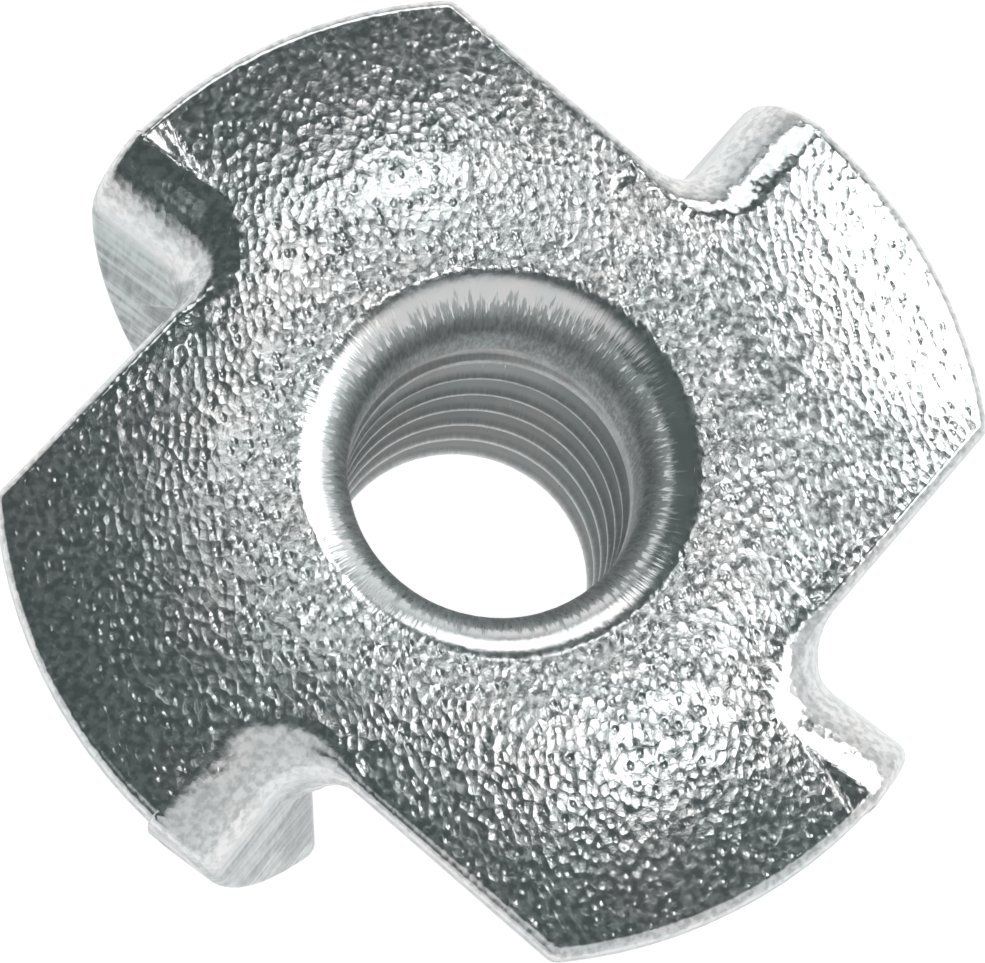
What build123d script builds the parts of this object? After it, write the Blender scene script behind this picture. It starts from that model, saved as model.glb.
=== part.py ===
from build123d import *
from math import cos, radians, sin, tan
import os

# A four-prong tee nut, pressed in one piece from a round steel blank.
# The middle of the blank is drawn down into a barrel that is tapped afterwards. Near
# the rim four tongues are lanced free and folded down into prongs.
# Sizes are in millimetres. The nut stands on its barrel, with the flange face on top.

# Driving dimensions
flange_diameter = 22.5
sheet_thickness = 1.5
overall_height = 11.0
barrel_diameter = 10.0
thread_minor_diameter = 6.65   # crests of an M8 x 1.25 thread, left as a plain bore
thread_start_depth = 2.3       # below the flange face
mouth_diameter = 9.3           # where the flange face turns down into the bore
draw_radius = 1.3              # of the rounded mouth
root_fillet = 0.8              # between barrel and flange, underneath
barrel_end_round = 0.4
prong_count = 4
lance_offset = 7.8             # cut that frees each prong, from the axis
lance_lean = 3.3               # degrees, the cut runs outward toward the lobe's corner
fold_offset = 0.85             # outside of each prong, from the notch's radial line
fold_inner_radius = 0.4
fold_angle = 82.0              # the prongs stay a little splayed
prong_trim = 0.7               # the blank's edge lies this much nearer on the prongs
hollow_radius = 1.1            # rounding between the cut edge and the fold
web_depth = 1.2                # of the small web below the hollow, beside each prong
lobe_corner_radius = 0.4
prong_tip_radius = 0.35
die_roll = 0.3                 # soft upper edge left by blanking
burnish_height = 0.1           # upright band of a cut edge, below the die roll
fracture_setback = 0.25        # the torn lower part of a cut edge leans in by this much
burr_break = 0.1               # lower edge of the rim

# Sizes worked out from these
flange_radius = flange_diameter / 2
bore_radius = thread_minor_diameter / 2
barrel_radius = barrel_diameter / 2
mouth_radius = mouth_diameter / 2
throat_radius = mouth_radius - draw_radius
underside = overall_height - sheet_thickness
fold_outer_radius = fold_inner_radius + sheet_thickness
fold_middle_radius = fold_inner_radius + sheet_thickness / 2
fold_start = fold_offset - fold_outer_radius
fold_centre_height = underside - fold_inner_radius
fracture_height = sheet_thickness - die_roll - burnish_height
turn = radians(fold_angle)
lean = radians(lance_lean)
notch_step = 360 / prong_count
first_notch = notch_step / 2

# Each notch is described with its radial line along +X and its open side toward +Y.

# The sharp corner of a lobe lies where the leaning cut runs out through the rim.
lance_distance = lance_offset * cos(lean)
rim_reach = (flange_radius**2 - lance_distance**2) ** 0.5
lobe_corner = Vector(lance_distance, rim_reach).rotate(Axis.Z, -lance_lean)

# The flange is a round plate with four notches, its upper outline rolled by the die.
with BuildPart() as flange:
    with BuildSketch(Plane.XY.offset(underside)) as outline:
        Circle(flange_radius)
        with PolarLocations(0, prong_count, start_angle=first_notch):
            Polygon(
                (lance_offset + fold_start * tan(lean), fold_start),
                (2 * flange_radius, fold_start),
                (2 * flange_radius, flange_radius),
                (lance_offset + flange_radius * tan(lean), flange_radius),
                align=None,
                mode=Mode.SUBTRACT,
            )
        lobe_corners = []
        for index in range(prong_count):
            corner = lobe_corner.rotate(Axis.Z, first_notch + index * notch_step)
            lobe_corners.append(outline.vertices().sort_by_distance(corner)[0])
        fillet(lobe_corners, lobe_corner_radius)
    extrude(amount=sheet_thickness)
    upper_rim = flange.faces().sort_by(Axis.Z)[-1].edges()
    fold_lines = upper_rim.filter_by(GeomType.LINE).group_by(SortBy.LENGTH)[0]
    fillet(upper_rim - fold_lines, die_roll)
    lower_face = flange.faces().sort_by(Axis.Z)[0]
    cut_edges = lower_face.edges().filter_by(GeomType.LINE).group_by(SortBy.LENGTH)[-1]
    chamfer(cut_edges, fracture_setback, fracture_height, reference=lower_face)
    rim_edges = flange.faces().sort_by(Axis.Z)[0].edges().filter_by(GeomType.CIRCLE)
    chamfer(rim_edges.group_by(SortBy.LENGTH)[-1], burr_break)

# A tongue turns down round the fold and runs straight to its tip. Its inner side is the
# leaning cut, its outer side the edge of the blank, both laid over with the tongue. It
# keeps the metal that the torn part of the cut takes from the lobe.
with BuildPart() as tongue:
    with BuildSketch(Plane.YZ.offset(lance_offset - sheet_thickness)):
        with BuildLine():
            bend = CenterArc(
                (fold_start, fold_centre_height), fold_middle_radius, 90, -fold_angle
            )
            PolarLine(bend @ 1, lance_offset, -fold_angle)
        trace(line_width=sheet_thickness)
    extrude(amount=flange_radius)
    leg_start = Vector(0, (bend @ 1).X, (bend @ 1).Y)
    leg_direction = Vector(0, cos(turn), -sin(turn))
    laid_over = fold_start + fold_middle_radius * turn + prong_trim
    blank_centre = leg_start - leg_direction * laid_over
    with BuildSketch(Plane(blank_centre, x_dir=(1, 0, 0), z_dir=(0, sin(turn), cos(turn)))):
        Circle(flange_radius)
        with Locations((lance_offset - fracture_setback, 0)):
            Rectangle(
                flange_radius,
                3 * flange_radius,
                rotation=-lance_lean,
                align=(Align.MIN, Align.CENTER),
                mode=Mode.INTERSECT,
            )
    extrude(amount=flange_radius, both=True, mode=Mode.INTERSECT)
    prong_tip = tongue.edges().filter_by(GeomType.LINE).sort_by(Axis.Z)[0]
    fillet(prong_tip, prong_tip_radius)
    blank_edge = tongue.faces().filter_by(GeomType.CYLINDER).sort_by(SortBy.AREA)[-1]
    outside = blank_edge.edges() - blank_edge.edges().filter_by(GeomType.LINE)
    outside = outside - outside.filter_by(GeomType.ELLIPSE)
    fillet(outside.sort_by(Axis.Y)[-2:], die_roll)

# Where the cut edge meets the fold, the metal is drawn round in a hollow whose upper
# edge grows from the small die roll to the full outside of the fold. The hollow is as
# deep as the sheet, and beside the prong a short web runs down from it onto the prong.
hollow_y = fold_offset + hollow_radius
hollow_x = lance_offset + (hollow_radius + hollow_y * sin(lean)) / cos(lean)
hollow_reach = hollow_radius + fold_outer_radius + die_roll
hollow_foot = underside - web_depth
prong_edge = lance_offset - fracture_setback + laid_over * tan(lean)
section_count = 7
with BuildPart() as hollow_space:
    with Locations((hollow_x, hollow_y, underside)):
        Cylinder(
            2 * hollow_reach,
            sheet_thickness,
            align=(Align.CENTER, Align.CENTER, Align.MIN),
        )
    with BuildSketch(Plane.YZ.offset(prong_edge)):
        Polygon(
            (fold_offset - sheet_thickness / 2, underside),
            (fold_offset - sheet_thickness / 2, hollow_foot),
            (fold_offset + die_roll, hollow_foot),
            (hollow_y, underside),
            align=None,
        )
    extrude(amount=hollow_reach)

with BuildPart() as hollow:
    for index in range(section_count):
        share = index / (section_count - 1)
        roll = die_roll + (fold_outer_radius - die_roll) * sin(share * radians(90)) ** 2
        inward = Vector(-1, 0, 0).rotate(Axis.Z, share * (90 + lance_lean) - lance_lean)
        across = inward.rotate(Axis.Z, -90)
        with BuildSketch(Plane((hollow_x, hollow_y, 0), x_dir=inward, z_dir=across)):
            with BuildLine():
                land = overall_height - roll - burnish_height
                lean_in = fracture_setback / fracture_height * cos(share * radians(90)) ** 2
                wall = Polyline(
                    (hollow_radius + lean_in * (land - hollow_foot), hollow_foot),
                    (hollow_radius, land),
                    (hollow_radius, overall_height - roll),
                )
                shoulder = CenterArc(
                    (hollow_radius + roll, overall_height - roll), roll, 180, -90
                )
                Polyline(
                    shoulder @ 1,
                    (hollow_reach + die_roll, overall_height),
                    (hollow_reach + die_roll, hollow_foot),
                    wall @ 0,
                )
            make_face()
    loft()
    add(hollow_space.part, mode=Mode.INTERSECT)

# The nut is the flange with its barrel and mouth, and a tongue and hollow at each notch.
with BuildPart() as tee_nut:
    add(flange.part)
    Cylinder(barrel_radius, underside, align=(Align.CENTER, Align.CENTER, Align.MIN))
    circles = tee_nut.edges().filter_by(GeomType.CIRCLE)
    root = circles.sort_by_distance((barrel_radius, 0, underside))[0]
    fillet(root, root_fillet)
    foot = tee_nut.edges().filter_by(GeomType.CIRCLE).sort_by(Axis.Z)[0]
    fillet(foot, barrel_end_round)
    with BuildSketch(Plane.XZ):
        with BuildLine():
            Polyline(
                (throat_radius, overall_height - draw_radius),
                (bore_radius, overall_height - thread_start_depth),
                (bore_radius, 0),
                (0, 0),
                (0, overall_height),
                (mouth_radius, overall_height),
            )
            CenterArc((mouth_radius, overall_height - draw_radius), draw_radius, 90, 90)
        make_face()
    revolve(axis=Axis.Z, mode=Mode.SUBTRACT)
    with PolarLocations(0, prong_count, start_angle=first_notch):
        add(tongue.part)
    with PolarLocations(0, prong_count, start_angle=first_notch):
        with Locations((hollow_x, hollow_y, underside)):
            Cylinder(
                hollow_reach,
                overall_height,
                arc_size=90 + lance_lean,
                rotation=(0, 0, 180 - lance_lean),
                align=(Align.NONE, Align.NONE, Align.MIN),
                mode=Mode.SUBTRACT,
            )
    with PolarLocations(0, prong_count, start_angle=first_notch):
        add(hollow.part)

tee_nut.part.label = "tee_nut"
os.makedirs("parts", exist_ok=True)
export_step(tee_nut.part, "parts/tee_nut.step")
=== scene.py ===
# %% [markdown]
# # A pronged tee nut in bright zinc
# This lesson dresses one small steel pressing for a picture. The shape comes from the
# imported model, the thread is cut here, and the zinc plating is a material made of nodes.
# Everything is in metres, so a millimetre is written as 0.001, or as `1 * mm`.

from math import cos, pi, radians, sin

import bpy
from mathutils import Matrix, Vector


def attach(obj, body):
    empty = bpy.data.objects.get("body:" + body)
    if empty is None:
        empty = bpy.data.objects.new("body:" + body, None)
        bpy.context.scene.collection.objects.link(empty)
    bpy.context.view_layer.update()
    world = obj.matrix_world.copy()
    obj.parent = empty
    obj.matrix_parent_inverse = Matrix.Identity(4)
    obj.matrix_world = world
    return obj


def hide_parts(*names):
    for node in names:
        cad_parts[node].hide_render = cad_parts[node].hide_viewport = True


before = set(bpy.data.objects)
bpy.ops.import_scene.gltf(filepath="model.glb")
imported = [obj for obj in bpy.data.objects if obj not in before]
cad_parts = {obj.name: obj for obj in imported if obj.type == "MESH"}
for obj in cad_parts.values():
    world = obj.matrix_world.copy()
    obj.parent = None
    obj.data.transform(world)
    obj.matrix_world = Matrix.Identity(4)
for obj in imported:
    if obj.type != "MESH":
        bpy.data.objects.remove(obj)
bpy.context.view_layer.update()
mm = 0.001
print("nodes:", sorted(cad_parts))


# %% [markdown]
# ## Small helpers
# Operators work on whatever is selected. The loaded model comes in selected, so each step
# first clears the selection and then picks exactly the object it is about to change.

# %% Helpers for selecting and finishing
def only(piece):
    """Selects one piece and makes it active."""
    if bpy.context.object and bpy.context.object.mode != "OBJECT":
        bpy.ops.object.mode_set(mode="OBJECT")
    bpy.ops.object.select_all(action="DESELECT")
    piece.select_set(True)
    bpy.context.view_layer.objects.active = piece


def apply_modifiers(piece):
    """Applies every modifier of a piece, in order."""
    only(piece)
    for modifier in list(piece.modifiers):
        bpy.ops.object.modifier_apply(modifier=modifier.name)


def measure(piece):
    """Prints how many faces a piece has, and its box in millimetres."""
    corners = [vertex.co for vertex in piece.data.vertices]
    low = [round(min(corner[axis] for corner in corners) / mm, 3) for axis in range(3)]
    high = [round(max(corner[axis] for corner in corners) / mm, 3) for axis in range(3)]
    print(piece.name, len(piece.data.polygons), "faces, from", low, "to", high)


# %% [markdown]
# ## The pressed body
# On the real nut a round blank is notched, its four prongs are folded down and its middle
# is drawn into a barrel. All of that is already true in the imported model. It could be
# modelled again here, but a copy keeps every fold and edge where the tools left them. The
# copy's loose triangles are welded, so that later steps see one closed skin.

# %% Copy the body and weld it
weld_distance = 0.0005 * mm

only(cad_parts["tee_nut"])
bpy.ops.object.duplicate()
body = bpy.context.object
body.name = "tee_nut_body"
body.data.materials.clear()
bpy.ops.object.mode_set(mode="EDIT")
bpy.ops.mesh.select_all(action="SELECT")
bpy.ops.mesh.remove_doubles(threshold=weld_distance)
bpy.ops.object.mode_set(mode="OBJECT")
measure(body)

# %% [markdown]
# ## The thread
# A tap cuts an M8 thread with a pitch of 1.25 mm into the barrel. The ridges could be
# painted on with shading, but the bore is seen at a slant, where only real ridges hide one
# another. The groove is one outline wound round the axis, so a cutter is made the same
# way: a small flat outline is drawn at the wall, the Screw modifier winds it down the
# bore, and a Boolean takes it out of the body. The flanks stand at 60 degrees to each
# other, and the crests between two turns are a little rounded.

# %% Draw the outline of the groove
bore_radius = 3.325 * mm
thread_top = 8.75 * mm
# Upper half of the outline, in millimetres out from the wall and up from its own middle
half_groove = (
    (-0.04, 0.61),
    (0.03, 0.52),
    (0.10, 0.42),
    (0.40, 0.247),
    (0.44, 0.20),
    (0.46, 0.14),
)
groove = [*half_groove, *((out, -up) for out, up in reversed(half_groove))]
overcut = -half_groove[0][0] * mm  # how far the outline stands out of the wall

bpy.ops.object.select_all(action="DESELECT")
bpy.ops.mesh.primitive_circle_add(vertices=len(groove), fill_type="NGON", location=(0, 0, 0))
cutter = bpy.context.object
cutter.name = "thread_cutter"
for corner, (out, up) in zip(cutter.data.vertices, groove):
    corner.co = (bore_radius + out * mm, 0, thread_top + up * mm)
measure(cutter)

# %% Wind it down the bore
pitch = 1.25 * mm
turns = 8
steps_in_a_turn = 72

winding = cutter.modifiers.new("winding", "SCREW")
winding.axis = "Z"
winding.screw_offset = -pitch
winding.iterations = turns
winding.steps = steps_in_a_turn
winding.render_steps = steps_in_a_turn
winding.use_merge_vertices = False
apply_modifiers(cutter)
bpy.ops.object.mode_set(mode="EDIT")
bpy.ops.mesh.select_all(action="SELECT")
bpy.ops.mesh.fill_holes(sides=0)
bpy.ops.mesh.select_all(action="SELECT")
bpy.ops.mesh.normals_make_consistent(inside=False)
bpy.ops.object.mode_set(mode="OBJECT")
measure(cutter)

# %% Let the groove start shallow and grow deep
lead_in_steps = 60

for index, vertex in enumerate(cutter.data.vertices):
    share = min(1.0, (index // len(groove)) / lead_in_steps)
    radius = Vector((vertex.co.x, vertex.co.y)).length
    wanted = bore_radius - overcut + (radius - bore_radius + overcut) * share
    vertex.co.x *= wanted / radius
    vertex.co.y *= wanted / radius
measure(cutter)

# %% Cut the thread out of the body
cut = body.modifiers.new("thread_cut", "BOOLEAN")
cut.operation = "DIFFERENCE"
cut.solver = "EXACT"
cut.object = cutter
apply_modifiers(body)
bpy.data.objects.remove(cutter)
measure(body)

# %% [markdown]
# ## Smooth where it is round
# The real nut has round folds and a round mouth, but sharp sheared edges. The body is made
# of small flat faces, and smoothing all of them would melt the edges too. So only faces
# that meet at less than 28 degrees are smoothed into each other.

# %% Shade the body and hand it over
smooth_below = radians(28)

only(body)
bpy.ops.object.shade_smooth_by_angle(angle=smooth_below)
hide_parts("tee_nut")
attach(body, "root")
print("replaces tee_nut:", body.name)


# %% [markdown]
# ## Wiring nodes
# The zinc, the floor and the room are all made of nodes. Placing each one by hand takes
# five lines, so small helpers add a node and wire it in one. Each gives back an output, so
# that formulas can be written from the inside out.

# %% Helpers for adding and wiring nodes
def start_nodes(owner):
    """Begins the nodes of a material or of the room. The helpers then wire into these."""
    global tree
    owner.use_nodes = True
    tree = owner.node_tree
    return tree.nodes


def wire(socket, value):
    """Sets one input, or links it to another node's output."""
    if isinstance(value, bpy.types.NodeSocket):
        tree.links.new(value, socket)
    else:
        socket.default_value = value


def node(kind, label, *values, **named):
    """Adds a node, labels it, and fills its inputs in order or by name."""
    made = tree.nodes.new(kind)
    made.label = label
    for socket, value in zip(made.inputs, values):
        wire(socket, value)
    for name, value in named.items():
        wire(made.inputs[name], value)
    return made


# %% Helpers for sums
def calc(operation, *values):
    """A Math node on numbers or other nodes' outputs."""
    made = node("ShaderNodeMath", operation.lower(), *values)
    made.operation = operation
    return made.outputs["Value"]


def plus(first, second):
    """Adds two values."""
    return calc("ADD", first, second)


def times(first, second):
    """Multiplies two values."""
    return calc("MULTIPLY", first, second)


def vector(operation, label, *values):
    """A Vector Math node, which works on three numbers at once."""
    made = node("ShaderNodeVectorMath", label, *values)
    made.operation = operation
    return made.outputs["Value" if operation == "LENGTH" else "Vector"]


# %% Helpers for fading, mixing and noise
def fade(value, start, end, low=0.0, high=1.0):
    """Runs smoothly from low to high as the value goes from start to end."""
    made = node("ShaderNodeMapRange", "fade", value, start, end, low, high)
    made.interpolation_type = "SMOOTHSTEP"
    return made.outputs["Result"]


def mix(label, share, first, second):
    """Mixes two colours. A share of 0 gives the first, and a share of 1 the second."""
    made = node("ShaderNodeMix", label, share)
    made.data_type = "RGBA"
    for socket, value in zip(made.inputs[6:8], (first, second)):
        wire(socket, (*value, 1) if isinstance(value, tuple) else value)
    return made.outputs[2]


def noise(label, where, scale, detail=2.0, roughness=0.5):
    """A Noise texture, and gives back its grey value."""
    settings = {"Scale": scale, "Detail": detail, "Roughness": roughness}
    return node("ShaderNodeTexNoise", label, Vector=where, **settings).outputs["Fac"]


# %% [markdown]
# ## Bright zinc
# The nut is plated after pressing, and the plating follows every dent of the sheet. The
# colour is nearly white with a breath of blue, and almost all of the look comes from how
# the small dents throw the lamps about. Each part of the nut could have a material of its
# own, but two materials meet in a hard line. So one material covers the nut, and masks
# made from the surface's place and slope tell it where the sheet is peened or ironed.

# %% Where on the nut a point lies
zinc = bpy.data.materials.new("zinc_plated_steel")
zinc_nodes = start_nodes(zinc)
place = node("ShaderNodeTexCoord", "place on the nut").outputs["Object"]
height = node("ShaderNodeSeparateXYZ", "place along the axes", place).outputs["Z"]
flat_place = vector("MULTIPLY", "place without its height", place, (1, 1, 0))
from_axis = vector("LENGTH", "distance from the axis", flat_place)
slope = node("ShaderNodeNewGeometry", "slope of the surface").outputs["True Normal"]
facing = node("ShaderNodeSeparateXYZ", "way it faces", slope).outputs["Z"]
level = calc("ABSOLUTE", facing)
print("place and slope take", len(zinc_nodes), "nodes")

# %% Masks for the peened sheet and the upright faces
mouth_rim = 4.15 * mm, 4.65 * mm  # from the axis, where the mouth turns into the face
upright_to_level = 0.25, 0.72  # 0 is an upright face, 1 a level one
leaning_to_upright = 0.55, 0.2

outside_mouth = fade(from_axis, *mouth_rim)
peened = times(fade(level, *upright_to_level), outside_mouth)
upright = times(fade(level, *leaning_to_upright), outside_mouth)
print("peened from", round(mouth_rim[1] / mm, 2), "mm outward")

# %% [markdown]
# ## Peened dents
# The sheet is covered in shallow dents, about a fifth of a millimetre across. They could
# be real geometry, but that would take millions of faces, so they only bend the shading.
# The distance to the nearest cell centre, squared, is a small bowl that shows the lamps
# once, as a glint. Noise makes some areas deeper, and some bowls get a deeper middle. A
# slow swell and a fine mottle keep the glints from being all alike.

# %% Dents
dents_per_metre = 4600
longer_one_way = (1.1, 0.82, 1.0)
dent_turn = radians(8)
shallow, deep = 0.002, 0.0075  # all heights of the relief are in millimetres

stretch = node(
    "ShaderNodeMapping",
    "longer one way",
    Vector=place,
    Scale=longer_one_way,
    Rotation=(0, 0, dent_turn),
).outputs["Vector"]
cells = node("ShaderNodeTexVoronoi", "dents", Vector=stretch, Scale=dents_per_metre)
cells.voronoi_dimensions = "2D"
cells.feature = "F1"
off_centre = cells.outputs["Distance"]
areas = noise("deep and shallow areas", place, 1500, detail=1.0)
bowl = times(calc("POWER", off_centre, 2.0), fade(areas, 0.3, 0.7, shallow, deep))
print("dents", round(1 / dents_per_metre / mm, 2), "mm across")

# %% Deeper middles, a slow swell and a fine mottle
middle_reach = 0.5
middle_depth = 0.0045
lucky_half = 0.5, 1.0
swell_height = 0.008
mottle_height = 0.0023

luck = node("ShaderNodeSeparateColor", "how deep", cells.outputs["Color"]).outputs["Blue"]
reach = calc("POWER", calc("DIVIDE", off_centre, middle_reach), 2.0)
pit = calc("POWER", calc("MAXIMUM", calc("SUBTRACT", 1.0, reach), 0.0), 2.0)
dent = calc("SUBTRACT", bowl, times(pit, fade(luck, *lucky_half, 0.0, middle_depth)))
swell = times(noise("slow swell of the sheet", place, 600), swell_height)
mottle = times(noise("mottled skin", place, 7200, roughness=0.6), mottle_height)
peening = plus(times(plus(dent, swell), peened), mottle)
print("middles", middle_depth, "swell", swell_height, "mottle", mottle_height, "in mm")

# %% [markdown]
# ## Drawing marks
# Where the punch drew the mouth down, and where the prongs were wiped over the die, the
# dents are ironed away and fine streaks run the way the metal slid. They could be drawn
# one by one, but noise does it for the whole ring at once. It is read round a circle, and
# hardly at all along the depth, which gives streaks with no seam.

# %% Streaks down the mouth
streak_ring = (0.0039, 0.0039, 0)
slow_along_depth = 0.3
drawn_from_axis = 4.8 * mm, 4.35 * mm
drawn_heights = 8.5 * mm, 8.8 * mm
growing_inward = 4.3 * mm, 3.8 * mm
faint_streak, strong_streak = 0.005, 0.022

way = vector("NORMALIZE", "direction from the axis", flat_place)
ring = vector("MULTIPLY", "place round the mouth", way, streak_ring)
depth = node("ShaderNodeCombineXYZ", "slow along the depth", Z=times(height, slow_along_depth))
streak_place = vector("ADD", "streak place", ring, depth.outputs["Vector"])
streaks = noise("drawing streaks", streak_place, 11000, roughness=0.6)
drawn = times(fade(from_axis, *drawn_from_axis), fade(height, *drawn_heights))
streak_height = fade(from_axis, *growing_inward, faint_streak, strong_streak)
drawing = times(times(streaks, drawn), streak_height)
print("streaks up to", strong_streak, "mm high")

# %% Marks on the sheared and wiped faces
tall_and_thin = (1, 1, 0.12)
shear_height = 0.004

tall = node("ShaderNodeMapping", "tall and thin", Vector=place, Scale=tall_and_thin)
shear_marks = noise(
    "marks on sheared and wiped faces", tall.outputs["Vector"], 6000, roughness=0.6
)
shearing = times(times(shear_marks, upright), shear_height)
print("shear marks up to", shear_height, "mm high")

# %% Put the relief together
relief = plus(plus(peening, drawing), shearing)
bump = node("ShaderNodeBump", "relief", Strength=1.0, Distance=1 * mm, Height=relief)
shader = zinc_nodes["Principled BSDF"]
wire(shader.inputs["Normal"], bump.outputs["Normal"])
print("relief wired,", len(zinc_nodes), "nodes so far")

# %% [markdown]
# ## Where the zinc is dull or worn, and where shade is painted
# Fresh zinc is even, but tools and handling wear it. Down the hole it is thin and scraped,
# and the crests of the thread are rubbed. The throat is darkened partly for that scraped
# finish and partly as painted shade of the recess. The prongs were wiped over the die, but
# the dark colour on their upright faces is painted shade. All this could be a separate
# skin, but here it is one mask, from 0 for fresh to 1 for dull or shaded. The largest of
# the three counts, so that they never add up to more than dull.

# %% The scraped throat, partly painted shade
ragged_edge = 1.6 * mm
throat_edge = 3.95 * mm, 3.7 * mm
throat_heights = 8.4 * mm, 8.8 * mm
darker_upward = -0.5 * mm, 4.0 * mm
# The throat's darker colour is partly its scraped finish and partly painted shade of the
# recess where the mouth turns down into the bore.
throat_scrape_and_shade, bore_scrape_and_shade = 0.65, 0.02

ragged = plus(from_axis, times(calc("SUBTRACT", 0.5, streaks), ragged_edge))
within = fade(ragged, *throat_edge)
throat = times(within, fade(height, *throat_heights))
# Scraped finish and painted shade: strongly in the throat, faintly down the bore.
scrape_and_shade = plus(times(throat, throat_scrape_and_shade), times(within, bore_scrape_and_shade))
dull_and_shaded = times(scrape_and_shade, fade(height, *darker_upward, 0.6, 1.0))
print("dullness", throat_scrape_and_shade, "in the throat")

# %% The thread's crests, and painted shade on the prongs
crest_edge = 3.50 * mm, 3.38 * mm
thread_heights = 8.8 * mm, 8.6 * mm
crest_wear = 0.34
# The prongs' upright faces are darkened as painted shade, which stands in for the darker floor
# and shadow that they mirror.
down_the_prong = 10.2 * mm, 8.9 * mm
least_prong_shade, most_prong_shade = 0.66, 0.88

crest = times(fade(from_axis, *crest_edge), fade(height, *thread_heights))
prongs = times(upright, fade(height, *down_the_prong, 0.6, 1.0))
# Painted shade on the prongs, mottled by the shear marks.
wear_and_shade = fade(shear_marks, 0.3, 0.7, least_prong_shade, most_prong_shade)
dull_and_shaded = calc("MAXIMUM", dull_and_shaded, calc("MAXIMUM", times(crest, crest_wear), times(prongs, wear_and_shade)))
print("wear_and_shade", crest_wear, "on the crests, up to", most_prong_shade, "on the prongs")

# %% [markdown]
# ## Colour and gloss
# The plating is bright, a little bluer in some patches and warmer in others, with small
# grey specks on the peened sheet. A metal's colour is the tint of what it mirrors, so the
# fresh colours stay pale and most dark tones come from the room. The dark colour on the
# prongs is painted shade, and in the throat it is partly scraped finish and partly painted
# shade. The peened sheet is the glossiest part, and the ironed mouth and prongs are softer.

# %% Colour
cool_zinc = (0.73, 0.76, 0.765)
warm_zinc = (0.81, 0.80, 0.79)
grey_speck = (0.40, 0.42, 0.42)
# The two dark colours below paint shade on the prongs, give scraped finish with painted shade
# in the throat, and show wear on the crests.
scraped_and_shaded_dark = (0.11, 0.14, 0.14)
scraped_and_shaded_pale = (0.36, 0.41, 0.41)
most_speck = 0.6

skin = noise("matt and bright specks", place, 5200)
patches = noise("patches", place, 420, roughness=0.6)
tint = mix("tint of the zinc", fade(patches, 0.35, 0.68), cool_zinc, warm_zinc)
speckled = times(fade(skin, 0.62, 0.34, 0.0, most_speck), peened)
specks = mix("grey specks", speckled, tint, grey_speck)
scraped_and_shaded = mix("scraped and shaded lines", fade(streaks, 0.36, 0.66), scraped_and_shaded_dark, scraped_and_shaded_pale)
# Where the dull mask is high the colour turns dark: wear on the crests, scraped finish with
# painted shade in the throat, and painted shade on the prongs.
colour = mix("worn, shaded or fresh plating", dull_and_shaded, specks, scraped_and_shaded)
wire(shader.inputs["Base Color"], colour)
print("colour from", cool_zinc, "to", warm_zinc)

# %% Gloss
ironed_roughness = 0.16, 0.24
peened_roughness = 0.11, 0.17
rougher_within = 0.32

smears = noise("smears", place, 1300, detail=1.0)
ironed_gloss = plus(fade(smears, 0.3, 0.7, *ironed_roughness), times(within, rougher_within))
peened_gloss = fade(skin, 0.36, 0.66, *peened_roughness)
gloss = node("ShaderNodeMix", "peened or ironed", peened)
wire(gloss.inputs[2], ironed_gloss)
wire(gloss.inputs[3], peened_gloss)
wire(shader.inputs["Roughness"], gloss.outputs[0])
shader.inputs["Metallic"].default_value = 1.0
body.data.materials.append(zinc)
print("zinc_plated_steel:", len(zinc_nodes), "nodes,", len(tree.links), "links")

# %% [markdown]
# ## A pale floor
# The nut stands on plain white paper. A white surface would need strong light to look
# white, and the nut would be too bright with it. So the paper is a darker matt surface
# that keeps the nut's shadow, with an added glow for what the camera and the metal see. It
# lies a hair below the barrel, so that the two faces never fight for the same place.

# %% Lay the floor
floor_drop = 0.02 * mm
floor_radius = 3

bpy.ops.object.select_all(action="DESELECT")
bpy.ops.mesh.primitive_circle_add(
    vertices=96, radius=floor_radius, fill_type="NGON", location=(0, 0, -floor_drop)
)
floor = bpy.context.object
floor.name = "floor"
print("floor laid", round(floor_drop / mm, 3), "mm under the barrel")

# %% Paper that glows only where it is seen
paper_grey = (0.18, 0.18, 0.18, 1)
paper_glow = 0.96

paper = bpy.data.materials.new("pale_paper")
paper_nodes = start_nodes(paper)
paper_nodes.remove(paper_nodes["Principled BSDF"])
ray = node("ShaderNodeLightPath", "kind of ray").outputs
looking = plus(ray["Is Camera Ray"], ray["Is Glossy Ray"])
seen = calc("MINIMUM", plus(looking, ray["Is Transmission Ray"]), 1.0)
matt = node("ShaderNodeBsdfDiffuse", "matt paper", Color=paper_grey)
glow = node("ShaderNodeEmission", "glow", Strength=times(seen, paper_glow))
both = node("ShaderNodeAddShader", "paper", matt.outputs[0], glow.outputs[0])
wire(paper_nodes["Material Output"].inputs["Surface"], both.outputs[0])
floor.data.materials.append(paper)
print("pale_paper:", len(paper_nodes), "nodes")


# %% [markdown]
# ## Soft lamps
# Bright metal shows its surroundings, so the studio is arranged for what the nut mirrors.
# One large lamp could light it evenly, but the flange would then be one flat tone. So
# small level panels hang high above, each where a part of the flange mirrors it into the
# view, and every dent catches them once. Two soft windows further down fill the folds and
# the mouth.

# %% Helpers for lamps
flange_height = 11 * mm


def soft_lamp(name, size, brightness):
    """A rectangular soft lamp. Its power follows its area, so brightness is per area."""
    lamp = bpy.data.lights.new(name, "AREA")
    lamp.shape = "RECTANGLE"
    lamp.size, lamp.size_y = size
    lamp.energy = brightness * pi * lamp.size * lamp.size_y
    holder = bpy.data.objects.new(name, lamp)
    bpy.context.scene.collection.objects.link(holder)
    return holder


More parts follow.
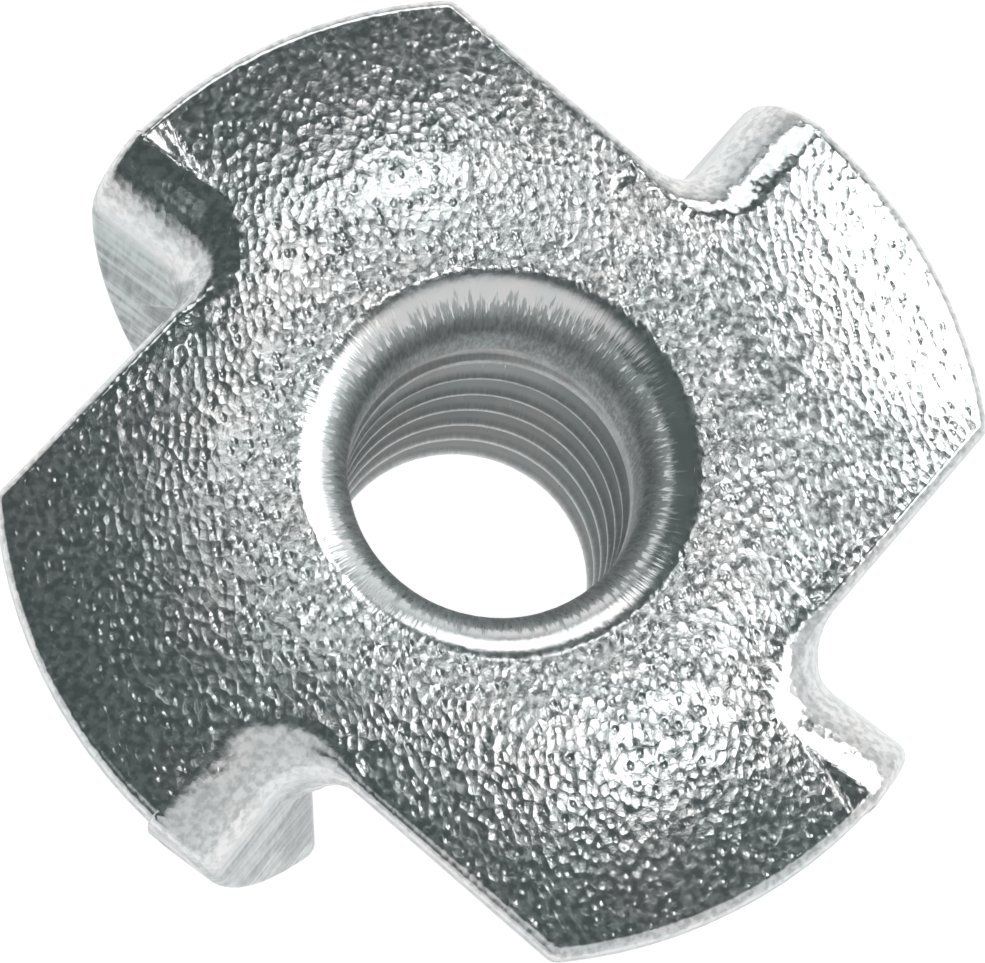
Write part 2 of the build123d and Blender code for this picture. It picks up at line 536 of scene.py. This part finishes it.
def window(name, toward, size, brightness, away=0.7):
    """A soft lamp at the side, which faces the nut."""
    holder = soft_lamp(name, size, brightness)
    centre = Vector((0, 0, flange_height))
    holder.location = centre + Vector(toward).normalized() * away
    holder.rotation_euler = (centre - holder.location).to_track_quat("-Z", "Y").to_euler()
    print(name, [round(value, 3) for value in holder.location])


def panel(name, across, along, brightness, turned=0, above=0.6):
    """A level lamp overhead. Its edges are sideways distances for each metre of height."""
    size = ((across[1] - across[0]) * above, (along[1] - along[0]) * above)
    holder = soft_lamp(name, size, brightness)
    middle = (sum(across) / 2 * above, sum(along) / 2 * above)
    holder.location = (*middle, above + flange_height)
    holder.rotation_euler.z = radians(turned)
    print(name, [round(value, 3) for value in holder.location])


# %% Hang the lamps
panel("back_panel", (0.092, 0.178), (0.345, 0.392), brightness=4.6)
panel("left_strip", (0.078, 0.104), (0.26, 0.345), brightness=2.5)
panel("near_panel", (0.157, 0.212), (0.168, 0.228), brightness=7.0)
panel("right_panel", (0.308, 0.488), (0.19, 0.47), brightness=3.2, turned=27)
window("right_window", (1.0, 0.25, 1.1), (0.45, 0.4), brightness=1.5)
window("back_window", (0.15, 1.0, 0.9), (0.5, 0.25), brightness=1.6)

# %% [markdown]
# ## Studio walls
# The rest of what the nut mirrors is a plain room. Walls could be built, but painting the
# room by direction needs no geometry and throws no shadow. Overhead and to the left it is
# dark, which gives the metal its contrast. The front and the right are light walls, and
# all round the floor's edge the room is pale.

# %% Paint the room
# Directions run from -1 to 1: x to the right, y to the back, z upward
front_wall, front_wall_side = (0.0, -0.28), (-0.70, -0.35)
right_wall = 0.40, 0.65
horizon = 0.56, 0.27
dark_room = (0.10, 0.12, 0.12)
light_wall = (0.74, 0.75, 0.75)
pale_edge = (0.86, 0.87, 0.87)

room = bpy.context.scene.world or bpy.data.worlds.new("studio")
bpy.context.scene.world = room
room_nodes = start_nodes(room)
direction = node("ShaderNodeTexCoord", "direction").outputs["Generated"]
x, y, z = node("ShaderNodeSeparateXYZ", "along the axes", direction).outputs
front = times(fade(y, *front_wall), fade(x, *front_wall_side))
walls = calc("MAXIMUM", front, fade(x, *right_wall))
upper = mix("dark room or light wall", walls, dark_room, light_wall)
around = mix("pale near the floor", fade(z, *horizon), upper, pale_edge)
wire(room_nodes["Background"].inputs["Color"], around)
print("room:", len(room_nodes), "nodes")

# %% [markdown]
# ## The camera
# The view is tilted 17 degrees from straight down, a little from the left and the front,
# and only eight centimetres away. So near, the far end of the bore looks clearly smaller
# than its mouth. A constraint could aim the camera, but this one is also rolled a little
# about its view, so its axes are worked out one by one.

# %% Camera
eye = Vector((-11.449, -21.26, 86.558)) * mm
aim = Vector((-0.27, -0.475, 11)) * mm
roll = -0.141
sensor_width, focal_length = 36, 129.785
nearest_seen = 1 * mm

ahead = (aim - eye).normalized()
side = ahead.cross(Vector((0, 1, 0))).normalized()
above = side.cross(ahead)
right = side * cos(roll) + above * sin(roll)
up = above * cos(roll) - side * sin(roll)
turned = Matrix((right, up, -ahead)).transposed()
lens = bpy.data.cameras.new("view")
lens.sensor_width = sensor_width
lens.lens = focal_length
lens.clip_start = nearest_seen
camera = bpy.data.objects.new("view", lens)
bpy.context.scene.collection.objects.link(camera)
camera.matrix_world = Matrix.Translation(eye) @ turned.to_4x4()
bpy.context.scene.camera = camera
bpy.context.scene.view_settings.view_transform = "Standard"
print("camera at", [round(v / mm, 2) for v in eye], "mm, lens", lens.lens, "mm")
